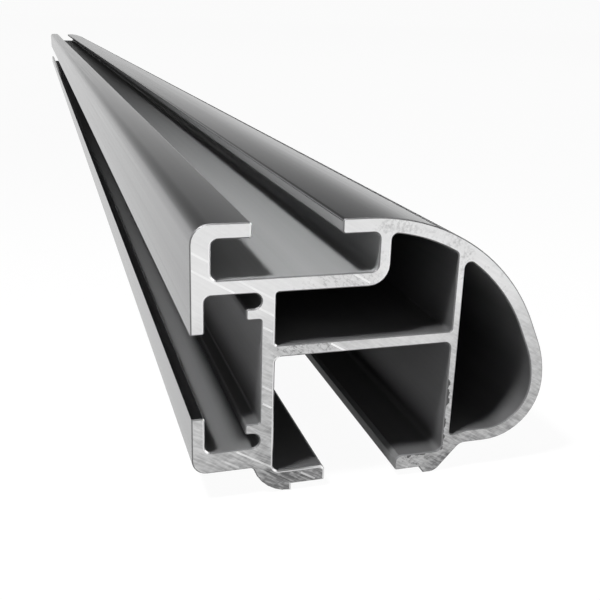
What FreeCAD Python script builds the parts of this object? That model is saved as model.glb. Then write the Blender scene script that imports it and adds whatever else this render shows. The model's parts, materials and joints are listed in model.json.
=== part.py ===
import FreeCAD, Part
import math
import os

import Sketcher

# Roof rack crossbar: one aluminium extrusion, sawn square at both ends.
# The section lies in the XZ plane and the bar runs along Y, centred on the origin.
# In every drawing of the section, x is measured from the outer left wall and z from the ridges
# that the bar stands on. The body is then shifted so that the bar is centred in X as well.

NODE = "crossbar_extrusion"

# Driving sizes, in millimetres and degrees.
SIZES = (
    ("bar_length", 1250.0, "sawn length"),
    ("leg_wall", 2.2, "legs that narrow the mouth of the side channel"),
    ("side_depth", 9.3, "side channel, from its legs to the web"),
    ("web_wall", 2.4, "web between the side channel and the rest"),
    ("bottom_width", 31.7, "bottom channel, from the web to the rib"),
    ("rib_wall", 1.45, "rib between the bottom channel and the nose"),
    ("nose_depth", 17.95, "from the rib to the tip of the nose"),
    ("foot_height", 5.2, "height of the underside above the ridges"),
    ("base_wall", 3.85, "wall under the side channel"),
    ("side_height", 27.4, "side channel, from floor to ceiling"),
    ("slot_floor_wall", 2.5, "wall under the top slot"),
    ("slot_depth", 6.6, "top slot, from its floor to the lips"),
    ("lip_wall", 2.5, "lips of the top slot"),
    ("shell_wall", 2.5, "curved shell from the crown to the chin"),
    ("slot_leg", 3.3, "wall on the left of the top slot"),
    ("slot_width", 27.9, "top slot under its lips"),
    ("slot_mouth", 14.9, "opening between the lips of the top slot"),
    ("slot_wall", 2.1, "wall on the right of the top slot"),
    ("crown_flat", 4.9, "flat top beyond the mouth of the top slot"),
    ("shoulder_angle", 65.0, "turn of the crown down to the straight shoulder"),
    ("brow_radius", 19.0, "nose above its tip"),
    ("chin_radius", 10.7, "nose below its tip"),
    ("side_mouth", 14.6, "opening between the legs of the side channel"),
    ("port_width", 2.6, "screw ports in the corners of the side channel"),
    ("nub_wall", 1.85, "nubs that close the screw ports"),
    ("nub_reach", 2.5, "how far the nubs stand out from the web"),
    ("recess_depth", 1.25, "recess between the two ridges"),
    ("bottom_lip_wall", 2.85, "lips of the bottom channel"),
    ("bottom_height", 21.15, "bottom channel above its lips"),
    ("shelf_wall", 2.05, "shelf between the bottom channel and the upper cell"),
    ("bottom_lip_reach", 9.4, "left lip of the bottom channel"),
    ("bottom_mouth", 13.4, "opening between the lips of the bottom channel"),
    ("lip_chamfer", 0.7, "bevels on top of the lips of the bottom channel"),
    ("heel_width", 3.4, "left ridge, from the web to its inner edge"),
    ("heel_radius", 7.1, "round outside of the left ridge"),
    ("heel_fillet", 0.6, "root of the left ridge"),
    ("ridge_inset", 0.9, "outer edge of the right ridge, inside the rib"),
    ("ridge_width", 2.3, "right ridge at its bottom"),
    ("ridge_slant", 0.9, "slope on the inner side of the right ridge"),
    ("ramp_angle", 48.0, "slope from the right ridge up to the underside"),
    ("ramp_round", 2.2, "rounding at both ends of that slope"),
    ("nose_drop", 0.5, "dip of the nose cell floor beside the rib"),
    ("nose_dip_flat", 1.0, "level part of that dip"),
    ("nose_dip_width", 3.4, "whole width of that dip"),
    ("top_corner", 3.2, "outer corner at the top left"),
    ("base_corner", 2.6, "outer corner at the bottom left"),
    ("slot_corner", 3.6, "outside of the lower right corner of the top slot"),
    ("channel_fillet", 1.15, "inside corners of the channels"),
    ("lip_round", 0.5, "edges of the lips"),
    ("edge_round", 0.4, "edges of the legs and nubs"),
    ("cell_fillet", 0.5, "inside corners of the closed cells"),
    ("roof_fillet", 1.0, "corners where the upper cell meets the shell"),
    ("cut_margin", 2.0, "how far a cut runs past the wall that it opens"),
)

# Places that follow from the driving sizes.
PLACES = (
    ("web_left", "leg_wall + side_depth"),
    ("web_right", "web_left + web_wall"),
    ("rib_left", "web_right + bottom_width"),
    ("rib_right", "rib_left + rib_wall"),
    ("bar_width", "rib_right + nose_depth"),
    ("side_floor", "foot_height + base_wall"),
    ("side_ceiling", "side_floor + side_height"),
    ("slot_floor", "side_ceiling + slot_floor_wall"),
    ("slot_ceiling", "slot_floor + slot_depth"),
    ("bar_height", "slot_ceiling + lip_wall"),
    ("above_bar", "bar_height + cut_margin"),
    ("slot_right", "slot_leg + slot_width"),
    ("slot_outside", "slot_right + slot_wall"),
    ("slot_mouth_left", "slot_leg + (slot_width - slot_mouth) / 2"),
    ("slot_mouth_right", "slot_mouth_left + slot_mouth"),
    ("slot_brim_left", "slot_mouth_left - 2 * lip_round"),
    ("slot_brim_right", "slot_mouth_right + 2 * lip_round"),
    ("crown_start", "slot_mouth_right + crown_flat"),
    ("side_mouth_low", "side_floor + (side_height - side_mouth) / 2"),
    ("side_mouth_high", "side_mouth_low + side_mouth"),
    ("nub_tip", "web_left - nub_reach"),
    ("low_port_top", "side_floor + port_width"),
    ("low_nub_top", "low_port_top + nub_wall"),
    ("high_port_base", "side_ceiling - port_width"),
    ("high_nub_base", "high_port_base - nub_wall"),
    ("port_centre", "web_left - port_width / 2"),
    ("bottom_lip_top", "recess_depth + bottom_lip_wall"),
    ("bottom_ceiling", "bottom_lip_top + bottom_height"),
    ("cell_floor", "bottom_ceiling + shelf_wall"),
    ("bottom_mouth_left", "web_right + bottom_lip_reach"),
    ("bottom_mouth_right", "bottom_mouth_left + bottom_mouth"),
    ("bottom_brim_right", "bottom_mouth_right + 2 * lip_round"),
    ("chamfer_left", "bottom_mouth_left - lip_chamfer"),
    ("chamfer_right", "bottom_mouth_right + lip_chamfer"),
    ("chamfer_low", "bottom_lip_top - lip_chamfer"),
    ("heel_right", "web_right + heel_width"),
    ("ridge_right", "rib_left - ridge_inset"),
    ("ridge_left", "ridge_right - ridge_width"),
    ("ridge_slope", "ridge_left - ridge_slant"),
    ("ridge_corner", "ridge_right - ramp_round * tan(ramp_angle / 2 * 1 deg)"),
    ("tip_height", "foot_height + chin_radius"),
    ("chin_centre", "bar_width - chin_radius"),
    ("brow_centre", "bar_width - brow_radius"),
    ("nose_floor", "foot_height + shell_wall"),
    ("nose_floor_low", "nose_floor - nose_drop"),
    ("nose_dip_left", "rib_right + nose_dip_flat"),
    ("nose_dip_right", "rib_right + nose_dip_width"),
    ("brow_end_across", "brow_centre + brow_radius * sin(shoulder_angle * 1 deg)"),
    ("brow_end_up", "tip_height + brow_radius * cos(shoulder_angle * 1 deg)"),
    ("crown_run", "(brow_end_across - crown_start) * sin(shoulder_angle * 1 deg)"),
    ("crown_fall", "(bar_height - brow_end_up) * cos(shoulder_angle * 1 deg)"),
    ("crown_radius", "(crown_run - crown_fall) / (1 - cos(shoulder_angle * 1 deg))"),
    ("crown_centre", "bar_height - crown_radius"),
    ("roof_radius", "crown_radius - shell_wall"),
    ("brow_inside", "brow_radius - shell_wall"),
    ("chin_inside", "chin_radius - shell_wall"),
)

# The points of an edge.
START, END, CENTRE = 1, 2, 3


def direction(degrees):
    """The unit vector at an angle from the level axis."""
    return FreeCAD.Vector(math.cos(math.radians(degrees)), math.sin(math.radians(degrees)), 0)


def angle_of(vector):
    """The angle of a vector from the level axis, in degrees."""
    return math.degrees(math.atan2(vector.y, vector.x))


def fill_sheet(doc):
    """Write the driving sizes and the places that follow from them into one sheet."""
    sheet = doc.addObject("Spreadsheet::Sheet", "Sizes")
    rows = [(name, str(value), note) for name, value, note in SIZES]
    rows += [(name, "=" + formula, "follows from the sizes above") for name, formula in PLACES]
    for row, (name, content, note) in enumerate(rows, 1):
        sheet.set(f"A{row}", name)
        sheet.set(f"B{row}", content)
        sheet.set(f"C{row}", note)
        sheet.setAlias(f"B{row}", name)
    doc.recompute()
    return sheet


class Section:
    """One closed outline across the bar, walked edge by edge and bound to the sheet.

    In a drawing, edge -1 is the level axis, edge -2 the upright axis, and the start of -1 the origin.
    """

    def __init__(self, body, sheet, name):
        self.sheet = sheet
        self.sketch = body.newObject("Sketcher::SketchObject", name)
        plane = next(item for item in body.Origin.OriginFeatures if item.Role == "XZ_Plane")
        self.sketch.AttachmentSupport = [(plane, "")]
        self.sketch.MapMode = "FlatFace"
        self.steps = []

    def size(self, name):
        """The value of a name in the sheet. A number stands for itself."""
        if isinstance(name, float):
            return name
        if name == "zero":
            return 0.0
        if name.startswith("-"):
            return -float(self.sheet.get(name[1:]))
        return float(self.sheet.get(name))

    def point(self, across, up):
        return FreeCAD.Vector(self.size(across), self.size(up), 0)

    def line(self, start, end):
        """Add a straight edge, which stays level or upright where it is drawn so."""
        edge = self.sketch.addGeometry(Part.LineSegment(start, end))
        heading = (end - start).normalize()
        if abs(heading.y) < 1e-6:
            self.sketch.addConstraint(Sketcher.Constraint("Horizontal", edge))
        elif abs(heading.x) < 1e-6:
            self.sketch.addConstraint(Sketcher.Constraint("Vertical", edge))
        self.steps.append((edge, START, END, heading, heading))
        return edge

    def arc(self, centre, radius, first, last):
        """Add a round edge, walked from one angle to another, in degrees."""
        circle = Part.Circle(centre, FreeCAD.Vector(0, 0, 1), radius)
        low, high = sorted((math.radians(first), math.radians(last)))
        edge = self.sketch.addGeometry(Part.ArcOfCircle(circle, low, high))
        forward = last > first
        entry, leave = (START, END) if forward else (END, START)
        quarter = 90 if forward else -90
        heading_in = direction(first + quarter)
        heading_out = direction(last + quarter)
        self.steps.append((edge, entry, leave, heading_in, heading_out))
        return edge

    def bind(self, kind, formula, *geometry):
        """Add a dimension whose value is a formula over the sheet."""
        index = self.sketch.addConstraint(Sketcher.Constraint(kind, *geometry))
        self.sketch.setExpression(f"Constraints[{index}]", formula)

    def radius(self, edge, name):
        self.bind("Radius", f"Sizes.{name}", edge, self.size(name))

    def across(self, edge, spot, name):
        """Hold a point at its distance from the outer left wall."""
        self.hold("DistanceX", -2, edge, spot, name)

    def up(self, edge, spot, name):
        """Hold a point at its height above the ridges."""
        self.hold("DistanceY", -1, edge, spot, name)

    def hold(self, kind, axis, edge, spot, name):
        if name == "zero":
            self.sketch.addConstraint(Sketcher.Constraint("PointOnObject", edge, spot, axis))
        elif name.startswith("-"):
            self.bind(kind, f"Sizes.{name[1:]}", edge, spot, -1, START, -self.size(name))
        else:
            self.bind(kind, f"Sizes.{name}", -1, START, edge, spot, self.size(name))

    def chain(self, corners, closed=False):
        """Walk straight edges through corners, each (across, up) or (across, up, radius).

        A rounded corner joins a level edge to an upright one. In a chain that isn't closed, the
        first and last corners are only where the edges beside it begin.
        """
        count = len(corners)
        bends = [self.bend(corners, turn) for turn in range(count)]
        for turn in range(count if closed else count - 1):
            after = (turn + 1) % count
            beyond = (turn + 2) % count
            edge = self.line(bends[turn]["end"], bends[after]["start"])
            self.place(edge, corners[turn - 1], corners[turn], corners[after], corners[beyond])
            if "centre" in bends[after]:
                radius = corners[after][2]
                bend = bends[after]
                rounding = self.arc(bend["centre"], self.size(radius), bend["first"], bend["last"])
                self.radius(rounding, radius)

    def bend(self, corners, turn):
        """Where the rounding of a corner starts and ends, its centre and its two angles."""
        spots = [self.point(corner[0], corner[1]) for corner in corners]
        spot = spots[turn]
        if len(corners[turn]) < 3:
            return {"start": spot, "end": spot}
        back = (spots[turn - 1] - spot).normalize()
        ahead = (spots[(turn + 1) % len(spots)] - spot).normalize()
        radius = self.size(corners[turn][2])
        centre = spot + (back + ahead) * radius
        first = angle_of(-ahead)
        sweep = (angle_of(-back) - first + 180) % 360 - 180
        return {
            "start": spot + back * radius,
            "end": spot + ahead * radius,
            "centre": centre,
            "first": first,
            "last": first + sweep,
        }

    def place(self, edge, before, corner, after, beyond):
        """Bind a straight edge to the places that its corners name."""
        if corner[0] == after[0]:
            self.across(edge, START, corner[0])
        elif corner[1] == after[1]:
            self.up(edge, START, corner[1])
        else:
            self.place_end(edge, START, corner, before)
            self.place_end(edge, END, after, beyond)

    def place_end(self, edge, spot, corner, neighbour):
        """Bind one end of a slope, where the edge beside it leaves it free."""
        if corner[1] == neighbour[1]:
            self.across(edge, spot, corner[0])
        else:
            self.up(edge, spot, corner[1])

    def close(self):
        """Join each edge to the next, smoothly where their headings agree."""
        for step, after in zip(self.steps, self.steps[1:] + self.steps[:1]):
            edge, _, leave, _, heading_out = step
            other, entry, _, heading_in, _ = after
            smooth = heading_out.getAngle(heading_in) < 1e-4
            kind = "Tangent" if smooth else "Coincident"
            self.sketch.addConstraint(Sketcher.Constraint(kind, edge, leave, other, entry))
        return self.sketch


def draw_outline(section):
    """The outside of the bar, counter-clockwise from its flat top."""
    draw_top_left(section)
    draw_heel(section)
    draw_ramp(section)
    draw_nose(section)


def draw_top_left(section):
    """Flat top, outer corner, left wall and lower corner."""
    size, point = section.size, section.point
    top_centre = point("top_corner", "bar_height") - point("zero", "top_corner")
    base_centre = point("base_corner", "foot_height") + point("zero", "base_corner")
    top = section.line(point("crown_start", "bar_height"), point("top_corner", "bar_height"))
    section.up(top, START, "bar_height")
    section.radius(section.arc(top_centre, size("top_corner"), 90, 180), "top_corner")
    left = section.line(point("zero", top_centre.y), point("zero", base_centre.y))
    section.across(left, START, "zero")
    section.radius(section.arc(base_centre, size("base_corner"), 180, 270), "base_corner")


def draw_heel(section):
    """Underside on the left, and the round outside of the left ridge."""
    size, point = section.size, section.point
    heel, fillet = size("heel_radius"), size("heel_fillet")
    heel_centre = point("heel_right", "heel_radius")
    rise = heel - (size("foot_height") - fillet)
    run = math.sqrt((heel + fillet) ** 2 - rise ** 2)
    root_centre = heel_centre - FreeCAD.Vector(run, rise, 0)
    touch = math.degrees(math.atan2(rise, run))
    under = section.line(point("base_corner", "foot_height"), point(root_centre.x, "foot_height"))
    section.up(under, START, "foot_height")
    section.radius(section.arc(root_centre, fillet, 90, touch), "heel_fillet")
    outside = section.arc(heel_centre, heel, touch + 180, 270)
    section.radius(outside, "heel_radius")
    section.across(outside, CENTRE, "heel_right")


def draw_ramp(section):
    """Bottom of the right ridge, and the slope from it up to the underside."""
    size, point = section.size, section.point
    angle, radius = size("ramp_angle"), size("ramp_round")
    foot = point("ridge_corner", "ramp_round")
    rise = size("foot_height") - 2 * radius * (1 - math.cos(math.radians(angle)))
    slope = direction(angle) * (rise / math.sin(math.radians(angle)))
    lower = foot + direction(angle - 90) * radius
    upper = lower + slope
    head = upper + direction(angle - 90) * radius
    ridge = section.line(point("heel_right", "zero"), point("ridge_corner", "zero"))
    section.up(ridge, START, "zero")
    ridge_round = section.arc(foot, radius, -90, angle - 90)
    section.radius(ridge_round, "ramp_round")
    section.across(ridge_round, CENTRE, "ridge_corner")
    ramp = section.line(lower, upper)
    section.bind("Angle", "Sizes.ramp_angle * 1 deg", ramp, math.radians(angle))
    section.radius(section.arc(head, radius, angle + 90, 90), "ramp_round")
    under = section.line(point(head.x, "foot_height"), point("chin_centre", "foot_height"))
    section.up(under, START, "foot_height")


def draw_nose(section):
    """Chin, brow, straight shoulder and crown, each tangent to the next."""
    size, point = section.size, section.point
    chin = section.arc(point("chin_centre", "tip_height"), size("chin_radius"), -90, 0)
    section.radius(chin, "chin_radius")
    section.across(chin, CENTRE, "chin_centre")
    draw_brow(section, "brow_radius", "crown_radius", 90)


def draw_brow(section, brow_name, crown_name, crown_end):
    """Brow, shoulder and crown, of the outside or of the inside of the shell."""
    size, point = section.size, section.point
    brow_centre = point("brow_centre", "tip_height")
    crown_centre = point("crown_start", "crown_centre")
    turn = 90 - size("shoulder_angle")
    brow = section.arc(brow_centre, size(brow_name), 0, turn)
    section.radius(brow, brow_name)
    section.up(brow, CENTRE, "tip_height")
    section.line(
        brow_centre + direction(turn) * size(brow_name),
        crown_centre + direction(turn) * size(crown_name),
    )
    crown = section.arc(crown_centre, size(crown_name), turn, crown_end)
    section.radius(crown, crown_name)
    section.across(crown, CENTRE, "crown_start")
    return crown


def draw_recess(section):
    """Hollow under the bar between its two ridges."""
    section.chain(
        [
            ("heel_right", "-cut_margin"),
            ("ridge_left", "-cut_margin"),
            ("ridge_left", "zero"),
            ("ridge_slope", "recess_depth"),
            ("heel_right", "recess_depth"),
        ],
        closed=True,
    )


def draw_bottom_channel(section):
    """Channel that opens down, for the feet of the rack."""
    section.chain(
        [
            ("bottom_mouth_left", "zero"),
            ("bottom_brim_right", "zero"),
            ("bottom_brim_right", "recess_depth"),
            ("bottom_mouth_right", "recess_depth", "lip_round"),
            ("bottom_mouth_right", "chamfer_low"),
            ("chamfer_right", "bottom_lip_top"),
            ("rib_left", "bottom_lip_top", "channel_fillet"),
            ("rib_left", "bottom_ceiling", "channel_fillet"),
            ("web_right", "bottom_ceiling", "channel_fillet"),
            ("web_right", "bottom_lip_top", "channel_fillet"),
            ("chamfer_left", "bottom_lip_top"),
            ("bottom_mouth_left", "chamfer_low"),
        ],
        closed=True,
    )


def draw_port(section, base):
    """Round inner end of a screw port."""
    radius = section.size("port_width") / 2
    centre = section.point("port_centre", base) + section.point("zero", radius)
    end = section.arc(centre, radius, -90, 90)
    section.across(end, CENTRE, "port_centre")


def draw_side_channel(section):
    """Channel that opens to the left, with a screw port in each inner corner."""
    section.chain(
        [
            ("port_centre", "side_ceiling"),
            ("leg_wall", "side_ceiling", "channel_fillet"),
            ("leg_wall", "side_mouth_high", "edge_round"),
            ("-cut_margin", "side_mouth_high"),
            ("-cut_margin", "side_mouth_low"),
            ("leg_wall", "side_mouth_low", "edge_round"),
            ("leg_wall", "side_floor", "channel_fillet"),
            ("port_centre", "side_floor"),
        ]
    )
    draw_port(section, "side_floor")
    section.chain(
        [
            ("port_centre", "low_port_top"),
            ("nub_tip", "low_port_top", "edge_round"),
            ("nub_tip", "low_nub_top", "edge_round"),
            ("web_left", "low_nub_top", "edge_round"),
            ("web_left", "high_nub_base", "edge_round"),
            ("nub_tip", "high_nub_base", "edge_round"),
            ("nub_tip", "high_port_base", "edge_round"),
            ("port_centre", "high_port_base"),
        ]
    )
    draw_port(section, "high_port_base")


def draw_top_slot(section):
    """Channel that opens up, for what is carried on the bar."""
    section.chain(
        [
            ("slot_leg", "slot_floor", "channel_fillet"),
            ("slot_right", "slot_floor", "channel_fillet"),
            ("slot_right", "slot_ceiling", "channel_fillet"),
            ("slot_mouth_right", "slot_ceiling", "lip_round"),
            ("slot_mouth_right", "bar_height", "lip_round"),
            ("slot_brim_right", "bar_height"),
            ("slot_brim_right", "above_bar"),
            ("slot_brim_left", "above_bar"),
            ("slot_brim_left", "bar_height"),
            ("slot_mouth_left", "bar_height", "lip_round"),
            ("slot_mouth_left", "slot_ceiling", "lip_round"),
            ("slot_leg", "slot_ceiling", "channel_fillet"),
        ],
        closed=True,
    )


def roof_corner(section, wall, side):
    """Centre of a fillet between an upright wall and the roof, and its angle about the crown.

    The cell lies to the right of the wall where side is 1, and to its left where side is -1.
    """
    size = section.size
    fillet = size("roof_fillet")
    across = size(wall) + side * fillet
    from_crown = across - size("crown_start")
    rise = math.sqrt((size("roof_radius") - fillet) ** 2 - from_crown ** 2)
    centre = section.point(across, size("crown_centre") + rise)
    return centre, math.degrees(math.atan2(rise, from_crown))


def draw_upper_cell(section):
    """Closed cell between the shelf, the top slot and the crown."""
    size = section.size
    right_centre, right_angle = roof_corner(section, "rib_left", -1)
    left_centre, left_angle = roof_corner(section, "slot_outside", 1)
    section.chain(
        [
            ("slot_outside", left_centre.y),
            ("slot_outside", "side_ceiling", "slot_corner"),
            ("web_right", "side_ceiling", "cell_fillet"),
            ("web_right", "cell_floor", "cell_fillet"),
            ("rib_left", "cell_floor", "cell_fillet"),
            ("rib_left", right_centre.y),
        ]
    )
    fillet = size("roof_fillet")
    section.radius(section.arc(right_centre, fillet, 0, right_angle), "roof_fillet")
    crown_centre = section.point("crown_start", "crown_centre")
    roof = section.arc(crown_centre, size("roof_radius"), right_angle, left_angle)
    section.radius(roof, "roof_radius")
    section.across(roof, CENTRE, "crown_start")
    section.up(roof, CENTRE, "crown_centre")
    section.radius(section.arc(left_centre, fillet, left_angle, 180), "roof_fillet")


def draw_nose_cell(section):
    """Closed cell inside the nose. Its floor dips beside the rib."""
    size, point = section.size, section.point
    corner_centre, corner_angle = roof_corner(section, "rib_right", 1)
    section.chain(
        [
            ("rib_right", corner_centre.y),
            ("rib_right", "nose_floor_low", "cell_fillet"),
            ("nose_dip_left", "nose_floor_low"),
            ("nose_dip_right", "nose_floor"),
            ("chin_centre", "nose_floor"),
        ]
    )
    chin = section.arc(point("chin_centre", "tip_height"), size("chin_inside"), -90, 0)
    section.radius(chin, "chin_inside")
    section.across(chin, CENTRE, "chin_centre")
    crown = draw_brow(section, "brow_inside", "roof_radius", corner_angle)
    section.up(crown, CENTRE, "crown_centre")
    section.radius(section.arc(corner_centre, size("roof_fillet"), corner_angle, 180), "roof_fillet")


CUTS = (
    ("recess", draw_recess),
    ("bottom_channel", draw_bottom_channel),
    ("side_channel", draw_side_channel),
    ("top_slot", draw_top_slot),
    ("upper_cell", draw_upper_cell),
    ("nose_cell", draw_nose_cell),
)


def draw(body, sheet, name, drawing):
    section = Section(body, sheet, name + "_section")
    drawing(section)
    return section.close()


def make_bar(doc, sheet):
    """Push the outline along the bar, then open each channel and cell over its whole length."""
    body = doc.addObject("PartDesign::Body", "Bar")
    body.Label = NODE
    pad = body.newObject("PartDesign::Pad", "outline")
    pad.Profile = draw(body, sheet, "outline", draw_outline)
    pad.SideType = "Symmetric"
    pad.setExpression("Length", "Sizes.bar_length")
    doc.recompute()
    for name, drawing in CUTS:
        cut_through(doc, body, sheet, name, drawing)
    body.setExpression("Placement.Base.x", "-Sizes.bar_width / 2")
    doc.recompute()
    return body


def cut_through(doc, body, sheet, name, drawing):
    """Cut one section through the whole bar, and check that it took metal away."""
    before = body.Tip.Shape.Volume
    pocket = body.newObject("PartDesign::Pocket", name)
    pocket.Profile = draw(body, sheet, name, drawing)
    pocket.SideType = "Symmetric"
    pocket.Type = "ThroughAll"
    doc.recompute()
    if not pocket.Shape.Volume < before:
        raise RuntimeError(f"{name} cuts nothing")


def check(doc, body):
    """Stop if any object failed, any drawing can still move, or the bar isn't one solid."""
    for item in doc.Objects:
        if "Invalid" in item.State or "Error" in item.State:
            raise RuntimeError(f"{item.Name} failed: {item.State}")
        if item.TypeId == "Sketcher::SketchObject" and not item.FullyConstrained:
            raise RuntimeError(f"{item.Name} is not fully constrained")
    shape = body.Shape
    if shape.isNull() or not shape.isValid() or len(shape.Solids) != 1:
        raise RuntimeError(f"{body.Label} is not one valid solid")


def main():
    doc = FreeCAD.newDocument("crossbar")
    sheet = fill_sheet(doc)
    body = make_bar(doc, sheet)
    check(doc, body)
    os.makedirs("parts", exist_ok=True)
    body.Shape.exportStep(f"parts/{body.Label}.step")


main()
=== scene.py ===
"""Roof rack crossbar: its sawn extrusion, its finishes and the stage that it is shown on."""

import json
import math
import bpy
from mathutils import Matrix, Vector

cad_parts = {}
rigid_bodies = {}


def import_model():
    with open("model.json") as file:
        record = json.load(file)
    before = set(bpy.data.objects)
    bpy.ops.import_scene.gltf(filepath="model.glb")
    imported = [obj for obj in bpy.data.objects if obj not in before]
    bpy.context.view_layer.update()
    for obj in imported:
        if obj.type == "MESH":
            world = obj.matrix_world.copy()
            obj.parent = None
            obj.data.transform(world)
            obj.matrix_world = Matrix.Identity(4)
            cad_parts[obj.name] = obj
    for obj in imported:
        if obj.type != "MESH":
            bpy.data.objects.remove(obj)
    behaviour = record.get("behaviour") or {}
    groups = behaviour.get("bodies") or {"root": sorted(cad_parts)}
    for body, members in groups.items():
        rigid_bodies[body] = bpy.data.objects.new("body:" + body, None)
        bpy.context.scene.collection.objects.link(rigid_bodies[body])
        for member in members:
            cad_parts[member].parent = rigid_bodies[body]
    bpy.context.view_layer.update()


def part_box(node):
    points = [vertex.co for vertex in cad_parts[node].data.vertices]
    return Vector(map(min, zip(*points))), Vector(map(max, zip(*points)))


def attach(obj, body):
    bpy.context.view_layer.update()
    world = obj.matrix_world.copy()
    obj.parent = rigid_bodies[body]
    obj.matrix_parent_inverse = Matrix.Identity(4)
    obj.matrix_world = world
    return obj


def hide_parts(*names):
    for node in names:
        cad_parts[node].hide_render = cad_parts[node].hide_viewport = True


bl_info = {
    "name": "Roof rack crossbar",
    "version": (1, 0, 0),
    "blender": (4, 5, 0),
    "location": "3D View > Sidebar > Crossbar",
    "description": "Draws an extruded roof rack crossbar and lights it in a studio",
    "category": "Object",
}

import bpy
from bpy.props import FloatProperty, FloatVectorProperty, PointerProperty
from bpy.types import Operator, Panel, PropertyGroup
from mathutils import Matrix, Vector

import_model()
BAR_LOW, BAR_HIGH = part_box("crossbar_extrusion")

MM = 0.001
# The bore and channel finishes are darker copies of the metal that paint shade into the hollows;
# the bright rim finish is a painted highlight.
FINISHES = ("anodised", "etched", "channel", "bore", "sawn", "burr")

# Drawn points closer than this are one point.
SNAP = 0.005 * MM

# Share of a step by which an arc may be too long before it is drawn in one step more.
STEP_SLACK = 0.001
QUARTER = math.radians(90)

# How far a face's normal leans along the bar, at most, on a wall and on a broken edge.
WALL_LEAN = 0.4
EDGE_LEAN = 0.95

# How far a face's normal leans up, at least, on a floor, and how far it leans to one side, at
# least, on a broken edge that counts as facing that way.
FLOOR_LEAN = 0.9
SIDE_LEAN = 0.3

# Noises on the metal, in repeats per metre across the bar, along it and up.
DIE_LINES = (2600, 6, 2600)
STREAKS = (150, 1.5, 150)
SAW_MARKS = (45, 1, 2200)
SCORE_BREAKS = (300, 1, 300)
HATCH_ALONG = (450, 1, 2600)
HATCH_ACROSS = (500, 1, 2200)
GRAIN = (1900, 1, 1900)
DULL_PATCHES = (120, 1, 260)
TORN_CELLS = (800, 1, 1500)
CHIPPED_EDGE = (520, 1, 520)

# Levels between which those noises are used. The hatch is used this far on either side of its
# middle.
DIE_SPAN = (0.3, 0.7)
MARK_SPAN = (0.35, 0.65)
HATCH_SPAN = 0.2
PATCH_SPAN = (0.45, 0.6)
CHIP_SPAN = (0.4, 0.65)

# How noises and a place across the bar are mapped, from low..high to start..end.
SCORE_KEPT = (0.35, 0.6, 0.5, 1.0)
SPECKS = (0.4, 0.64, 0.05, 0.5)
TORN_LINES = (0.0, 0.05, 0.9, 0.4)
DULL_ACROSS = (-22 * MM, -8 * MM, 0.2, 0.8)

# Painted shade on the sawn metal, darker towards the bottom: how dark it is at a share of the
# height at which it runs out.
PAINTED_LOW_SHADE = ((0.06, 1.0), (0.12, 0.76), (0.4, 0.56), (0.7, 0.4), (0.85, 0.15), (1.0, 0.1))

# How much of that painted shade there is at a share of the bar's width.
PAINTED_SHADE_ACROSS = (
    (0.0, 0.75),
    (0.22, 1.0),
    (0.32, 1.0),
    (0.5, 0.75),
    (0.64, 0.64),
    (0.71, 0.95),
    (1.0, 0.95),
)

# Deep scores on the sawn ends. Each is its middle and its place in the frame of the saw, half its
# length and its strength. Lengths are in millimetres.
SCORES = (
    (-48.4, 21.2, 1.6, 1.0),
    (-44.6, 18.75, 4.0, 1.0),
    (-37.6, 20.8, 3.4, 0.9),
    (-34.1, 18.4, 1.6, 0.9),
    (-32.5, 15.95, 0.9, 0.6),
    (-22.9, 30.6, 1.8, 1.0),
    (-19.8, 18.6, 1.6, 0.9),
    (-27.2, 7.0, 0.9, 0.5),
    (-25.5, 4.3, 0.9, 0.7),
    (-22.3, -5.2, 3.6, 0.6),
    (-25.4, -7.55, 1.4, 0.4),
    (-11.8, -4.05, 1.5, 0.5),
)

# Torn patches on the sawn ends. Each is its place across from the middle of the bar and up, its
# reach, all in millimetres, and its strength.
TORN = ((-13.5, 26.3, 9.0, 0.85), (-7.0, 37.7, 8.5, 0.5), (8.5, 2.7, 6.5, 1.0))

# How bright the studio behind the stage is at a share of the height to its zenith.
STUDIO = (
    (0.0, 0.96),
    (0.045, 0.96),
    (0.11, 0.6),
    (0.17, 0.4),
    (0.235, 0.25),
    (0.32, 0.13),
    (1.0, 0.15),
)


def length(label, millimetres, about):
    """A length property, given in millimetres and kept in metres."""
    return FloatProperty(
        name=label, description=about, default=millimetres * MM, min=0.0, unit="LENGTH", precision=5
    )


def angle(label, degrees, about):
    """An angle property, given in degrees and kept in radians."""
    return FloatProperty(
        name=label, description=about, default=math.radians(degrees), unit="ROTATION"
    )


def colour(label, value, about):
    """A colour property, in linear light."""
    return FloatVectorProperty(
        name=label, description=about, default=value, size=3, min=0.0, max=1.0, subtype="COLOR"
    )


def stage_place(label, place, about):
    """A place on the stage, in metres."""
    return FloatVectorProperty(
        name=label,
        description=about,
        default=place,
        size=3,
        subtype="TRANSLATION",
        unit="LENGTH",
        precision=5,
    )


def amount(label, value, about):
    """A plain number from 0 to 1."""
    return FloatProperty(name=label, description=about, default=value, min=0.0, max=1.0)


def power(label, watts, about):
    """The power of a lamp, in watts."""
    return FloatProperty(name=label, description=about, default=watts, min=0.0)


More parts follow.
